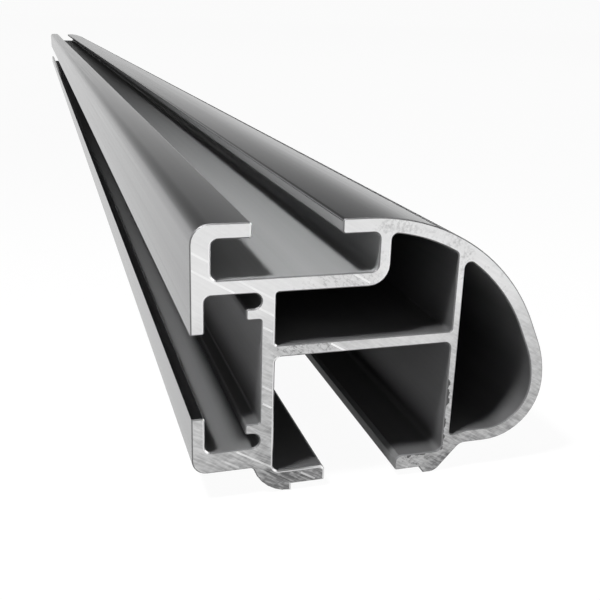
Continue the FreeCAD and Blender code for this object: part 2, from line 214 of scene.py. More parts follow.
class SectionSizes(PropertyGroup):
    """Sizes of the section. The bar's width, height and length come from the frame."""

    leg_wall: length("Leg wall", 2.2, "Legs that narrow the mouth of the side channel")
    side_depth: length("Side channel depth", 9.3, "From the legs of the side channel to the web")
    web_wall: length("Web", 2.4, "Wall between the side channel and the rest")
    bottom_width: length("Bottom channel width", 31.7, "From the web to the rib")
    rib_wall: length("Rib", 1.45, "Wall between the bottom channel and the nose")
    foot_height: length("Foot height", 5.2, "Height of the underside above the ridges")
    base_wall: length("Base wall", 3.85, "Wall under the side channel")
    side_height: length("Side channel height", 27.4, "From its floor to its ceiling")
    slot_floor_wall: length("Slot floor wall", 2.5, "Wall under the top slot")
    slot_depth: length("Slot depth", 6.6, "Top slot, from its floor to its lips")
    slot_leg: length("Slot leg", 3.3, "Wall on the left of the top slot")
    slot_width: length("Slot width", 27.9, "Top slot under its lips")
    slot_mouth: length("Slot mouth", 14.9, "Opening between the lips of the top slot")
    slot_wall: length("Slot wall", 2.1, "Wall on the right of the top slot")
    shell_wall: length("Shell wall", 2.5, "Curved shell from the crown to the chin")
    crown_flat: length("Crown flat", 4.9, "Flat top beyond the mouth of the top slot")
    shoulder: angle("Shoulder", 65.0, "Turn of the crown down to the straight shoulder")
    brow_radius: length("Brow radius", 19.0, "Nose above its tip")
    chin_radius: length("Chin radius", 10.7, "Nose below its tip")
    side_mouth: length("Side mouth", 14.6, "Opening between the legs of the side channel")
    port_width: length("Port width", 2.6, "Screw ports in the corners of the side channel")
    nub_wall: length("Nub wall", 1.85, "Nubs that close the screw ports")
    nub_reach: length("Nub reach", 2.5, "How far the nubs stand out from the web")
    recess_depth: length("Recess depth", 1.25, "Recess between the two ridges")
    bottom_lip_wall: length("Bottom lip wall", 2.85, "Lips of the bottom channel")
    bottom_height: length("Bottom channel height", 21.15, "Bottom channel above its lips")
    shelf_wall: length("Shelf wall", 2.05, "Shelf under the upper cell")
    bottom_lip_reach: length("Bottom lip reach", 9.4, "Left lip of the bottom channel")
    bottom_mouth: length("Bottom mouth", 13.4, "Opening between the lips of the bottom channel")
    lip_chamfer: length("Lip chamfer", 0.7, "Bevels on top of the lips of the bottom channel")
    heel_width: length("Heel width", 3.4, "Left ridge, from the web to its inner edge")
    heel_radius: length("Heel radius", 7.1, "Round outside of the left ridge")
    heel_fillet: length("Heel fillet", 0.6, "Root of the left ridge")
    ridge_inset: length("Ridge inset", 0.9, "Outer edge of the right ridge, inside the rib")
    ridge_width: length("Ridge width", 2.3, "Right ridge at its bottom")
    ridge_slant: length("Ridge slant", 0.9, "Slope on the inner side of the right ridge")
    ramp: angle("Ramp", 48.0, "Slope from the right ridge up to the underside")
    ramp_round: length("Ramp round", 2.2, "Rounding at both ends of that slope")
    nose_drop: length("Nose drop", 0.5, "Dip of the nose cell floor beside the rib")
    nose_dip_flat: length("Nose dip flat", 1.0, "Level part of that dip")
    nose_dip_width: length("Nose dip width", 3.4, "Whole width of that dip")
    top_corner: length("Top corner", 3.2, "Outer corner at the top left")
    base_corner: length("Base corner", 2.6, "Outer corner at the bottom left")
    slot_corner: length("Slot corner", 3.6, "Outside of the lower right corner of the top slot")
    channel_fillet: length("Channel fillet", 1.15, "Inside corners of the channels")
    lip_round: length("Lip round", 0.5, "Edges of the lips")
    edge_round: length("Edge round", 0.4, "Edges of the legs and nubs")
    cell_fillet: length("Cell fillet", 0.5, "Inside corners of the closed cells")
    roof_fillet: length("Roof fillet", 1.0, "Corners where the cells meet the shell")
    saw_break: length("Broken edge", 0.2, "Bevel that the deburring left around each sawn end")
    # Flat rim beside the broken edges; where these face the light, it carries a painted highlight.
    saw_rim: length("Burnished rim", 0.15, "Bright band of the sawn ends beside some edges")
    arc_step: length("Arc step", 1.5, "Longest straight piece of a drawn arc")
    turn_step: angle("Turn step", 15.0, "Widest turn between two pieces of a drawn arc")
    smooth_turn: angle("Smooth turn", 32.0, "Widest turn between two faces that is shaded smooth")


class FinishColours(PropertyGroup):
    """Colours and gloss of the finishes."""

    anodised: colour("Anodised", (0.38, 0.382, 0.388), "Outer faces of the bar")
    anodised_roughness: amount("Anodised roughness", 0.17, "Spread of its reflections")
    etched: colour("Etched", (0.2, 0.202, 0.204), "Inside of the top slot")
    # Darker copy of the etched finish: painted shade on the floor of the side channel and in the
    # mouth of the bottom one.
    channel: colour(
        "Channel", (0.115, 0.116, 0.117), "Floor of the side channel, mouth of the bottom one"
    )
    etched_roughness: amount("Etched roughness", 0.5, "Spread of its reflections")
    etched_metal: amount("Etched metal", 0.06, "How far bare metal shows through the matt layer")
    edge_tint: amount("Grazing tint", 0.7, "How much the anodic layer reflects at a grazing angle")
    streak_depth: amount("Streaks", 0.1, "How much the streaks along the bar vary its tone")
    gloss_spread: amount("Gloss spread", 0.02, "How much the die lines vary the roughness")
    die_relief: length("Die relief", 0.003, "Height of the die lines")
    # Darker copy of the anodised metal: painted shade on the walls of the channels and the closed
    # cells, and a painted dark outline on the broken edges of the sawn ends.
    bore: colour("Bore", (0.18, 0.18, 0.183), "Walls of the channels and the closed cells")
    bore_roughness: amount("Bore roughness", 0.55, "Spread of its reflections")
    bore_metal: amount("Bore metal", 0.8, "How far bare metal shows through its matt layer")
    bore_tint: amount("Bore grazing tint", 0.3, "How much the bores reflect at a grazing angle")
    sawn: colour("Sawn", (0.90, 0.90, 0.90), "Bare metal of the sawn ends")
    # Dark colour of the real dull and torn patches, and of the painted shade towards the bottom of
    # the sawn ends.
    sawn_dull_and_shade: colour("Sawn, dull", (0.12, 0.12, 0.121), "Smeared and torn metal there")
    sawn_line: colour("Sawn, line", (0.62, 0.62, 0.63), "Fine marks of the saw teeth")
    # Height at which the painted shade towards the bottom of the sawn ends runs out.
    painted_shade_height: length("Smear spread", 40.0, "Height at which the smear ends")
    sawn_roughness: amount("Sawn roughness", 0.38, "Spread of its reflections")
    saw_relief: length("Saw relief", 0.01, "Height of the marks of the saw teeth")
    saw_share: amount("Saw share", 0.16, "How far the marks of the saw teeth show in their colour")
    # Painted highlight on the broken edges and rims that face the light; the deep scores take this
    # bright colour too.
    burr: colour("Burr", (0.97, 0.97, 0.97), "Burnished edge that the saw pushed over")
    rim_highlight_roughness: amount("Burr roughness", 0.3, "Spread of its reflections")
    # Painted shade in the notches where small chips came off the edges.
    chip_shade: colour("Chip", (0.1, 0.1, 0.1), "Torn metal where small chips came off")
    chip_depth: length("Chip depth", 0.8, "How far the deepest chips reach in from an edge")
    chip_reach: length("Chip reach", 15.0, "How far up the rib the chips go")
    chip_gap: length("Chip gap", 2.5, "Whole edge of the lip beside the rib")
    saw_slope: angle("Saw slope", 30.5, "Slope of the saw marks across the section")
    hatch_slope: angle("Hatch slope", -42.0, "Slope of the fine marks that cross them")
    # The fine marks also break up the painted shade towards the bottom.
    hatch_depth: amount("Hatch", 0.26, "How much the fine marks vary the smear")
    hatch_share: amount("Crossing share", 0.35, "Strength of the crossing marks beside the saw's")
    # Share of the painted shade towards the bottom that also falls on the painted rim highlight.
    rim_low_shade: amount("Rim smear", 0.4, "How much of the smear the burnished rim has")
    score_width: length("Score width", 0.17, "Half the width of a deep score")


class StageSizes(PropertyGroup):
    """Camera, lamps and floor."""

    camera_place: stage_place("Camera", (-0.05256, -0.74736, 0.07762), "Where the camera stands")
    camera_turn: FloatVectorProperty(
        name="Camera turn",
        description="Which way the camera looks",
        default=[math.radians(turn) for turn in (71.551, -1.694, -16.647)],
        size=3,
        subtype="EULER",
        unit="ROTATION",
    )
    camera_lens: FloatProperty(
        name="Lens", description="Focal length on a 36 mm sensor", default=50.22, unit="CAMERA"
    )
    camera_near: length("Camera near", 10.0, "Nearest distance that the camera sees")
    camera_far: length("Camera far", 200000.0, "Farthest distance that the camera sees")
    floor_width: length("Floor", 60000.0, "Width of the floor")
    floor_drop: length("Floor drop", 0.05, "From the ridges of the bar down to the floor")
    floor_colour: colour("Floor colour", (0.86, 0.86, 0.86), "Pale studio floor")
    floor_glow: amount("Floor glow", 0.95, "How far the floor shows as plain white")
    key_power: power("Key power", 0.58, "Small lamp above the near end")
    key_size: length("Key size", 50.0, "Width of the key lamp")
    key_spread: angle("Key spread", 85.0, "How wide the grid on the key lamp lets its light out")
    key_place: stage_place("Key place", (-0.1825, -0.68, 0.4), "Where the key lamp hangs")
    key_aim: stage_place("Key aim", (-0.015, -0.615, 0.04), "What the key lamp points at")
    top_power: power("Top power", 10.0, "Wide lamp overhead")
    top_size: length("Top size", 2500.0, "Width of the top lamp")
    top_place: stage_place("Top place", (0.0, 0.2, 2.4), "Where the top lamp hangs")
    top_aim: stage_place("Top aim", (0.0, 0.2, 0.0), "What the top lamp points at")
    fill_power: power("Fill power", 8.0, "Wide lamp at the right")
    fill_size: length("Fill size", 1200.0, "Width of the fill lamp")
    fill_place: stage_place("Fill place", (1.6, -0.9, 0.7), "Where the fill lamp stands")
    fill_aim: stage_place("Fill aim", (0.0, -0.4, 0.03), "What the fill lamp points at")
    front_power: power("Front power", 1.5, "Lamp before the sawn end")
    front_size: length("Front size", 800.0, "Width of the front lamp")
    front_place: stage_place("Front place", (-0.7, -1.9, 0.9), "Where the front lamp stands")
    front_aim: stage_place("Front aim", (0.0, -0.62, 0.03), "What the front lamp points at")


class Places:
    """Places across the section that follow from its sizes, in metres."""

    def __init__(self, sizes):
        self.width = BAR_HIGH.x - BAR_LOW.x
        self.top = BAR_HIGH.z
        self.web_left = sizes.leg_wall + sizes.side_depth
        self.web_right = self.web_left + sizes.web_wall
        self.rib_left = self.web_right + sizes.bottom_width
        self.rib_right = self.rib_left + sizes.rib_wall
        self.side_floor = sizes.foot_height + sizes.base_wall
        self.side_ceiling = self.side_floor + sizes.side_height
        self.slot_floor = self.side_ceiling + sizes.slot_floor_wall
        self.slot_ceiling = self.slot_floor + sizes.slot_depth
        self.slot_right = sizes.slot_leg + sizes.slot_width
        self.slot_outside = self.slot_right + sizes.slot_wall
        self.slot_mouth_left = sizes.slot_leg + (sizes.slot_width - sizes.slot_mouth) / 2
        self.slot_mouth_right = self.slot_mouth_left + sizes.slot_mouth
        self.crown_start = self.slot_mouth_right + sizes.crown_flat
        self.side_mouth_low = self.side_floor + (sizes.side_height - sizes.side_mouth) / 2
        self.side_mouth_high = self.side_mouth_low + sizes.side_mouth
        self.nub_tip = self.web_left - sizes.nub_reach
        self.port_radius = sizes.port_width / 2
        self.port_centre = self.web_left - self.port_radius
        self.low_port_top = self.side_floor + sizes.port_width
        self.high_port_base = self.side_ceiling - sizes.port_width
        self.bottom_lip_top = sizes.recess_depth + sizes.bottom_lip_wall
        self.bottom_ceiling = self.bottom_lip_top + sizes.bottom_height
        self.cell_floor = self.bottom_ceiling + sizes.shelf_wall
        self.bottom_mouth_left = self.web_right + sizes.bottom_lip_reach
        self.bottom_mouth_right = self.bottom_mouth_left + sizes.bottom_mouth
        self.heel_right = self.web_right + sizes.heel_width
        self.ridge_right = self.rib_left - sizes.ridge_inset
        self.ridge_left = self.ridge_right - sizes.ridge_width
        self.ridge_corner = self.ridge_right - sizes.ramp_round * math.tan(sizes.ramp / 2)
        self.tip = sizes.foot_height + sizes.chin_radius
        self.chin_centre = self.width - sizes.chin_radius
        self.brow_centre = self.width - sizes.brow_radius
        self.nose_floor = sizes.foot_height + sizes.shell_wall
        run = self.brow_centre + sizes.brow_radius * math.sin(sizes.shoulder) - self.crown_start
        fall = self.top - self.tip - sizes.brow_radius * math.cos(sizes.shoulder)
        level = run * math.sin(sizes.shoulder) - fall * math.cos(sizes.shoulder)
        self.crown_radius = level / (1 - math.cos(sizes.shoulder))
        self.crown_centre = self.top - self.crown_radius
        self.roof_radius = self.crown_radius - sizes.shell_wall


class Pen:
    """Draws a wire across the near end of the bar, one edge or one arc after another.

    Its places are across, from the outer left wall, and up, from the ridges that the bar stands on.
    """

    def __init__(self, sizes, across, up):
        """Set the pen down in a mesh that is open in edit mode."""
        self.sizes = sizes
        self.at = Vector((across, up))
        bpy.ops.mesh.select_all(action="DESELECT")
        bpy.ops.mesh.primitive_plane_add(size=MM, location=self.place(self.at))
        bpy.ops.mesh.merge(type="CENTER")

    def place(self, point):
        """Place of a point in the scene."""
        return BAR_LOW.x + point.x, BAR_LOW.y + self.sizes.saw_break, point.y

    def to(self, across, up):
        """Draw a straight edge."""
        step = Vector((across, up)) - self.at
        bpy.ops.mesh.extrude_vertices_move(TRANSFORM_OT_translate={"value": (step.x, 0, step.y)})
        self.at += step

    def turn(self, across, up, turn):
        """Draw an arc about a centre, through an angle that is positive counter-clockwise."""
        centre = Vector((across, up))
        spoke = self.at - centre
        by_turn = math.ceil(abs(turn) / self.sizes.turn_step - STEP_SLACK)
        by_length = math.ceil(abs(turn) * spoke.length / self.sizes.arc_step)
        bpy.ops.mesh.spin(
            steps=max(by_turn, by_length), angle=turn, center=self.place(centre), axis=(0, 1, 0)
        )
        self.at = centre + Matrix.Rotation(turn, 2) @ spoke

    def through(self, *corners):
        """Draw straight edges through corners, each (across, up) or (across, up, radius)."""
        for corner, after in zip(corners, corners[1:]):
            if len(corner) == 3:
                self.round(Vector(corner[:2]), Vector(after[:2]), corner[2])
            else:
                self.to(*corner)
        self.to(*corners[-1])

    def round(self, corner, after, radius):
        """Draw up to a corner and round it towards the next one."""
        heading = (corner - self.at).normalized()
        turn = -heading.angle_signed(after - corner)
        start = corner - heading * radius * math.tan(abs(turn) / 2)
        side = math.copysign(radius, turn)
        self.to(*start)
        self.turn(start.x - heading.y * side, start.y + heading.x * side, turn)


def draw_top_slot(pen, s, p):
    """Flat top and the slot in it, from the crown to the outer left corner."""
    pen.through(
        (p.slot_mouth_right, p.top, s.lip_round),
        (p.slot_mouth_right, p.slot_ceiling, s.lip_round),
        (p.slot_right, p.slot_ceiling, s.channel_fillet),
        (p.slot_right, p.slot_floor, s.channel_fillet),
        (s.slot_leg, p.slot_floor, s.channel_fillet),
        (s.slot_leg, p.slot_ceiling, s.channel_fillet),
        (p.slot_mouth_left, p.slot_ceiling, s.lip_round),
        (p.slot_mouth_left, p.top, s.lip_round),
        (0, p.top, s.top_corner),
        (0, p.side_mouth_high),
    )


def draw_side_channel(pen, s, p):
    """Channel that opens to the left, with a screw port in each inner corner."""
    pen.through(
        (s.leg_wall, p.side_mouth_high, s.edge_round),
        (s.leg_wall, p.side_ceiling, s.channel_fillet),
        (p.port_centre, p.side_ceiling),
    )
    pen.turn(p.port_centre, p.side_ceiling - p.port_radius, -2 * QUARTER)
    pen.through(
        (p.nub_tip, p.high_port_base, s.edge_round),
        (p.nub_tip, p.high_port_base - s.nub_wall, s.edge_round),
        (p.web_left, p.high_port_base - s.nub_wall, s.edge_round),
        (p.web_left, p.low_port_top + s.nub_wall, s.edge_round),
        (p.nub_tip, p.low_port_top + s.nub_wall, s.edge_round),
        (p.nub_tip, p.low_port_top, s.edge_round),
        (p.port_centre, p.low_port_top),
    )
    pen.turn(p.port_centre, p.side_floor + p.port_radius, -2 * QUARTER)
    pen.through(
        (s.leg_wall, p.side_floor, s.channel_fillet),
        (s.leg_wall, p.side_mouth_low, s.edge_round),
        (0, p.side_mouth_low),
    )


def draw_heel(pen, s, p):
    """Left wall below the side channel, the underside and the round left ridge."""
    rise = s.heel_radius - (s.foot_height - s.heel_fillet)
    run = math.sqrt((s.heel_radius + s.heel_fillet) ** 2 - rise ** 2)
    root = p.heel_right - run
    steep = math.atan2(rise, run)
    pen.through((0, s.foot_height, s.base_corner), (root, s.foot_height))
    pen.turn(root, s.foot_height - s.heel_fillet, steep - QUARTER)
    pen.turn(p.heel_right, s.heel_radius, QUARTER - steep)


def draw_bottom_channel(pen, s, p):
    """Recess between the ridges, and the channel that opens down into it."""
    pen.through(
        (p.heel_right, s.recess_depth),
        (p.bottom_mouth_left, s.recess_depth),
        (p.bottom_mouth_left, p.bottom_lip_top - s.lip_chamfer),
        (p.bottom_mouth_left - s.lip_chamfer, p.bottom_lip_top),
        (p.web_right, p.bottom_lip_top, s.channel_fillet),
        (p.web_right, p.bottom_ceiling, s.channel_fillet),
        (p.rib_left, p.bottom_ceiling, s.channel_fillet),
        (p.rib_left, p.bottom_lip_top, s.channel_fillet),
        (p.bottom_mouth_right + s.lip_chamfer, p.bottom_lip_top),
        (p.bottom_mouth_right, p.bottom_lip_top - s.lip_chamfer),
        (p.bottom_mouth_right, s.recess_depth, s.lip_round),
        (p.ridge_left - s.ridge_slant, s.recess_depth),
        (p.ridge_left, 0),
        (p.ridge_corner, 0),
    )


def draw_nose(pen, s, p):
    """Ramp, underside, chin, brow, straight shoulder and crown."""
    rest = QUARTER - s.shoulder
    pen.turn(p.ridge_corner, s.ramp_round, s.ramp)
    rise = s.foot_height - 2 * s.ramp_round * (1 - math.cos(s.ramp))
    pen.to(pen.at.x + rise / math.tan(s.ramp), pen.at.y + rise)
    head = pen.at.x + s.ramp_round * math.sin(s.ramp)
    pen.turn(head, s.foot_height - s.ramp_round, -s.ramp)
    pen.to(p.chin_centre, s.foot_height)
    pen.turn(p.chin_centre, p.tip, QUARTER)
    pen.turn(p.brow_centre, p.tip, rest)
    pen.to(
        p.crown_start + p.crown_radius * math.cos(rest),
        p.crown_centre + p.crown_radius * math.sin(rest),
    )
    pen.turn(p.crown_start, p.crown_centre, s.shoulder)


def roof_corner(s, p, wall, side):
    """Centre of the fillet between a wall and the roof, and its angle about the crown.

    The cell lies to the right of the wall where side is 1, and to its left where side is -1.
    """
    across = wall + side * s.roof_fillet
    run = across - p.crown_start
    rise = math.sqrt((p.roof_radius - s.roof_fillet) ** 2 - run ** 2)
    return across, p.crown_centre + rise, math.atan2(rise, run)


def draw_upper_cell(s, p):
    """Closed cell between the shelf, the top slot and the crown."""
    right, right_up, right_angle = roof_corner(s, p, p.rib_left, -1)
    left, left_up, left_angle = roof_corner(s, p, p.slot_outside, 1)
    pen = Pen(s, p.slot_outside, left_up)
    pen.through(
        (p.slot_outside, p.side_ceiling, s.slot_corner),
        (p.web_right, p.side_ceiling, s.cell_fillet),
        (p.web_right, p.cell_floor, s.cell_fillet),
        (p.rib_left, p.cell_floor, s.cell_fillet),
        (p.rib_left, right_up),
    )
    pen.turn(right, right_up, right_angle)
    pen.turn(p.crown_start, p.crown_centre, left_angle - right_angle)
    pen.turn(left, left_up, 2 * QUARTER - left_angle)


def draw_nose_cell(s, p):
    """Closed cell inside the nose. Its floor dips beside the rib."""
    rest = QUARTER - s.shoulder
    corner, corner_up, corner_angle = roof_corner(s, p, p.rib_right, 1)
    pen = Pen(s, p.rib_right, corner_up)
    pen.through(
        (p.rib_right, p.nose_floor - s.nose_drop, s.cell_fillet),
        (p.rib_right + s.nose_dip_flat, p.nose_floor - s.nose_drop),
        (p.rib_right + s.nose_dip_width, p.nose_floor),
        (p.chin_centre, p.nose_floor),
    )
    pen.turn(p.chin_centre, p.tip, QUARTER)
    pen.turn(p.brow_centre, p.tip, rest)
    pen.to(
        p.crown_start + p.roof_radius * math.cos(rest),
        p.crown_centre + p.roof_radius * math.sin(rest),
    )
    pen.turn(p.crown_start, p.crown_centre, corner_angle - rest)
    pen.turn(corner, corner_up, 2 * QUARTER - corner_angle)


def pick_faces(piece, wanted):
    """Select the faces of a piece that pass a test, and go back to edit mode."""
    bpy.ops.mesh.select_all(action="SELECT")
    keep_faces(piece, wanted)


def keep_faces(piece, wanted):
    """Keep only those selected faces of a piece that pass a test, and go back to edit mode."""
    bpy.ops.mesh.select_mode(type="FACE")
    bpy.ops.object.mode_set(mode="OBJECT")
    for face in piece.data.polygons:
        face.select = face.select and wanted(face)
    bpy.ops.object.mode_set(mode="EDIT")


def borders(face, left, right, low, high):
    """Whether a face lies on the border of a room, given by its sides in the section."""
    slack = 0.3 * MM
    across, up = face.center.x - BAR_LOW.x, face.center.z
    return left - slack < across < right + slack and low - slack < up < high + slack


def is_wall(face):
    """Whether a face runs along the bar, unlike the sawn ends and their broken edges."""
    return abs(face.normal.y) < WALL_LEAN


def is_broken_edge(face):
    """Whether a face slopes between a wall and a sawn end."""
    return WALL_LEAN < abs(face.normal.y) < EDGE_LEAN


def give_finish(piece, finish):
    """Put a finish on the faces that are selected in edit mode."""
    piece.active_material_index = piece.material_slots.find(finish)
    bpy.ops.object.material_slot_assign()


def finish_rooms(piece, finish, *rooms):
    """Put a finish on the walls of rooms, each given by its sides in the section."""
    pick_faces(piece, lambda face: is_wall(face) and any(borders(face, *room) for room in rooms))
    give_finish(piece, finish)


class CROSSBAR_OT_bar(Operator):
    """Draw the section, fill it, push it along the bar and break its sawn edges"""

    bl_idname = "crossbar.bar"
    bl_label = "Bar"

    def execute(self, context):
        s = context.scene.crossbar_section
        p = Places(s)
        bpy.ops.object.select_all(action="DESELECT")
        bpy.ops.mesh.primitive_plane_add(size=MM, location=(0, 0, 0))
        bar = context.object
        bar.name = bar.data.name = "crossbar"
        bpy.ops.object.mode_set(mode="EDIT")
        bpy.ops.mesh.delete(type="VERT")
        self.draw_section(s, p)
        bpy.ops.mesh.select_all(action="SELECT")
        bpy.ops.mesh.remove_doubles(threshold=SNAP)
        bpy.ops.mesh.fill()
        run = BAR_HIGH.y - BAR_LOW.y - 2 * s.saw_break
        bpy.ops.mesh.extrude_region_move(TRANSFORM_OT_translate={"value": (0, run, 0)})
        bpy.ops.mesh.select_all(action="SELECT")
        bpy.ops.mesh.normals_make_consistent(inside=False)
        for name in FINISHES:
            bar.data.materials.append(bpy.data.materials.new(name))
        self.finish_walls(bar, s, p)
        self.finish_ends(bar, s, p)
        bpy.ops.object.mode_set(mode="OBJECT")
        bpy.ops.object.shade_smooth_by_angle(angle=s.smooth_turn)
        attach(bar, "root")
        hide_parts("crossbar_extrusion")
        return {"FINISHED"}

    def draw_section(self, s, p):
        pen = Pen(s, p.crown_start, p.top)
        draw_top_slot(pen, s, p)
        draw_side_channel(pen, s, p)
        draw_heel(pen, s, p)
        draw_bottom_channel(pen, s, p)
        draw_nose(pen, s, p)
        draw_upper_cell(s, p)
        draw_nose_cell(s, p)

    def finish_walls(self, bar, s, p):
        """Give the insides of the slot, the channels and the closed cells their finishes. The
        channels and the closed cells get darker copies of the metal: painted shade in these
        hollows.
        """
        slot = (s.slot_leg, p.slot_right, p.slot_floor, p.slot_ceiling)
        lip_side = p.top - 2 * s.lip_round
        slot_mouth = (p.slot_mouth_left, p.slot_mouth_right, p.slot_ceiling, lip_side)
        side = (s.leg_wall, p.web_left, p.side_floor, p.side_ceiling)
        side_floor = (s.leg_wall, p.web_left, p.side_floor, p.side_floor)
        bottom = (p.web_right, p.rib_left, p.bottom_lip_top, p.bottom_ceiling)
        bottom_mouth = (
            p.bottom_mouth_left - s.lip_chamfer,
            p.bottom_mouth_right + s.lip_chamfer,
            s.recess_depth,
            p.bottom_lip_top,
        )
        upper_cell = (p.web_right, p.rib_left, p.cell_floor, p.side_ceiling)
        roof_cell = (p.slot_outside, p.rib_left, p.side_ceiling, p.top - s.shell_wall)
        shell = s.shell_wall / 2
        nose_cell = (p.rib_right, p.width - shell, s.foot_height + shell, p.top - shell)
        finish_rooms(bar, "bore", side, bottom, upper_cell, roof_cell, nose_cell)
        finish_rooms(bar, "etched", slot, slot_mouth)
        # The mouth of the bottom channel and the floor of the side channel get the darker channel
        # finish: painted shade in these hollows.
        finish_rooms(bar, "channel", bottom_mouth)
        pick_faces(bar, lambda face: face.normal.z > FLOOR_LEAN and borders(face, *side_floor))
        give_finish(bar, "channel")

    def finish_ends(self, bar, s, p):
        """Finish the sawn ends, and draw their faces in and out so that their edges are broken."""
        pick_faces(bar, lambda face: not is_wall(face))
        give_finish(bar, "sawn")
        bpy.ops.mesh.inset(thickness=s.saw_break, depth=s.saw_break)
        bpy.ops.mesh.inset(thickness=s.saw_rim, depth=0)
        # All broken edges first take the darker bore finish: a painted dark outline round the sawn
        # ends.
        pick_faces(bar, is_broken_edge)
        give_finish(bar, "bore")
        # Broken edges and rims that face the light get a bright painted highlight; the other broken
        # edges stay dark.
        self.paint_rim_highlights(bar, p)

    def paint_rim_highlights(self, bar, p):
        """Paint a highlight on the broken edges that face the light, and on the flat rim of the
        sawn end beside each.

        These face right on the left of the section, or up on the left lip of the bottom channel.
        """
        left = (0, p.slot_outside, 0, p.top)
        lip = (p.web_right, p.bottom_mouth_left, p.bottom_lip_top, p.bottom_lip_top)
        pick_faces(
            bar,
            lambda face: is_broken_edge(face)
            and (
                (face.normal.x > SIDE_LEAN and borders(face, *left))
                or (face.normal.z > SIDE_LEAN and borders(face, *lip))
            ),
        )
        bpy.ops.mesh.select_more(use_face_step=False)
        keep_faces(bar, lambda face: not is_wall(face) and len(face.vertices) == 4)
        give_finish(bar, "burr")


class Graph:
    """Adds nodes to one material or world, and joins them."""

    def __init__(self, owner):
        owner.use_nodes = True
        self.tree = owner.node_tree
        self.tree.nodes.clear()

    def node(self, kind, place, sockets=None, **settings):
        """Add a node. A socket is given a value, another socket or a node's first output."""
        node = self.tree.nodes.new("ShaderNode" + kind)
        node.location = place
        for name, value in settings.items():
            setattr(node, name, value)
        for name, value in (sockets or {}).items():
            if isinstance(value, bpy.types.Node):
                value = value.outputs[0]
            if isinstance(value, bpy.types.NodeSocket):
                self.tree.links.new(value, node.inputs[name])
            else:
                node.inputs[name].default_value = value
        return node

    def math(self, place, operation, *values):
        """Reckon with values, each a number, a socket or a node."""
        return self.node("Math", place, dict(enumerate(values)), operation=operation)

    def mix_colour(self, place, share, first, second):
        """Mix two colours, each (red, green, blue) or a node."""
        first, second = (v if isinstance(v, bpy.types.Node) else (*v, 1) for v in (first, second))
        return self.node("MixRGB", place, {0: share, 1: first, 2: second})

    def stretched_noise(self, place, coordinates, repeats, detail):
        """Noise with its own number of repeats per metre along each axis."""
        x, y = place
        both = {0: coordinates, 1: repeats}
        scaled = self.node("VectorMath", (x - 180, y), both, operation="MULTIPLY")
        return self.node("TexNoise", place, {"Vector": scaled, "Scale": 1.0, "Detail": detail})

    def ramp(self, place, value, stops):
        """Map a value from 0..1 through grey levels, each (value, level)."""
        node = self.node("ValToRGB", place, {0: value})
        elements = node.color_ramp.elements
        for element, stop in zip(elements, (stops[0], stops[-1])):
            element.position, level = stop
            element.color = (level, level, level, 1)
        for position, level in stops[1:-1]:
            elements.new(position).color = (level, level, level, 1)
        return node

    def steps(self, place, value, low, high, start=0.0, end=1.0):
        """Map a value from low..high to start..end, and hold it there."""
        return self.node("MapRange", place, {0: value, 1: low, 2: high, 3: start, 4: end})


def drawn_metal(finish, colours, tone, roughness, edge_tint, metallic):
    """Metal with the fine lines and the faint streaks that the die left along the bar."""
    graph = Graph(finish)
    place = graph.node("TexCoord", (-1100, 0)).outputs["Object"]
    lines = graph.stretched_noise((-700, 100), place, DIE_LINES, 3.0)
    streaks = graph.stretched_noise((-700, -200), place, STREAKS, 3.0)
    low, high = 1 - colours.streak_depth, 1 + colours.streak_depth
    light = graph.steps((-500, -200), streaks, *DIE_SPAN, low, high)
    shade = graph.node("VectorMath", (-300, 250), {0: tone, "Scale": light}, operation="SCALE")
    low, high = roughness - colours.gloss_spread, roughness + colours.gloss_spread
    gloss = graph.steps((-300, 0), lines, *DIE_SPAN, low, high)
    relief = {"Height": lines, "Strength": 0.1, "Distance": colours.die_relief}
    looks = {
        "Base Color": shade,
        "Metallic": metallic,
        "Specular IOR Level": 0.1,
        "Roughness": gloss,
        "Specular Tint": (edge_tint, edge_tint, edge_tint, 1),
        "Normal": graph.node("Bump", (-300, -350), relief),
    }
    shader = graph.node("BsdfPrincipled", (0, 0), looks)
    graph.node("OutputMaterial", (300, 0), {0: shader})


def deep_scores(graph, along_cut, colours):
    """Where the deep scores run: their strength on a score and 0 beside it."""
    along, _, beside = graph.node("SeparateXYZ", (-1500, 700), {0: along_cut}).outputs
    scores = 0.0
    for row, (middle, place, reach, strength) in enumerate(SCORES):
        up = 700 + 160 * row
        near = graph.math((-1300, up), "COMPARE", beside, place * MM, colours.score_width)
        within = graph.math((-1100, up), "COMPARE", along, middle * MM, reach * MM)
        score = graph.math((-900, up), "MULTIPLY", near, within)
        score = graph.math((-700, up), "MULTIPLY", score, strength)
        scores = graph.math((-500, up), "MAXIMUM", score, scores)
    breaks = graph.stretched_noise((-1000, 550), along_cut, SCORE_BREAKS, 2.0)
    kept = graph.steps((-800, 550), breaks, *SCORE_KEPT)
    return graph.math((-300, 700), "MULTIPLY", scores, kept)


def hatch(graph, place, along_cut, colours):
    """Fine marks along the cut and across it: 1 on the average, less and more by the hatch."""
    turned = {"Vector": place, "Rotation": (0, -colours.hatch_slope, 0)}
    across_cut = graph.node("Mapping", (-1600, -1400), turned)
    first = graph.stretched_noise((-1200, -1400), along_cut, HATCH_ALONG, 2.0)
    second = graph.stretched_noise((-1200, -1650), across_cut, HATCH_ACROSS, 2.0)
    both = graph.math((-1000, -1400), "MULTIPLY_ADD", second, colours.hatch_share, first)
    middle, depth = (1 + colours.hatch_share) / 2, colours.hatch_depth
    low, high = middle - HATCH_SPAN, middle + HATCH_SPAN
    return graph.steps((-800, -1400), both, low, high, 1 - depth, 1 + depth)


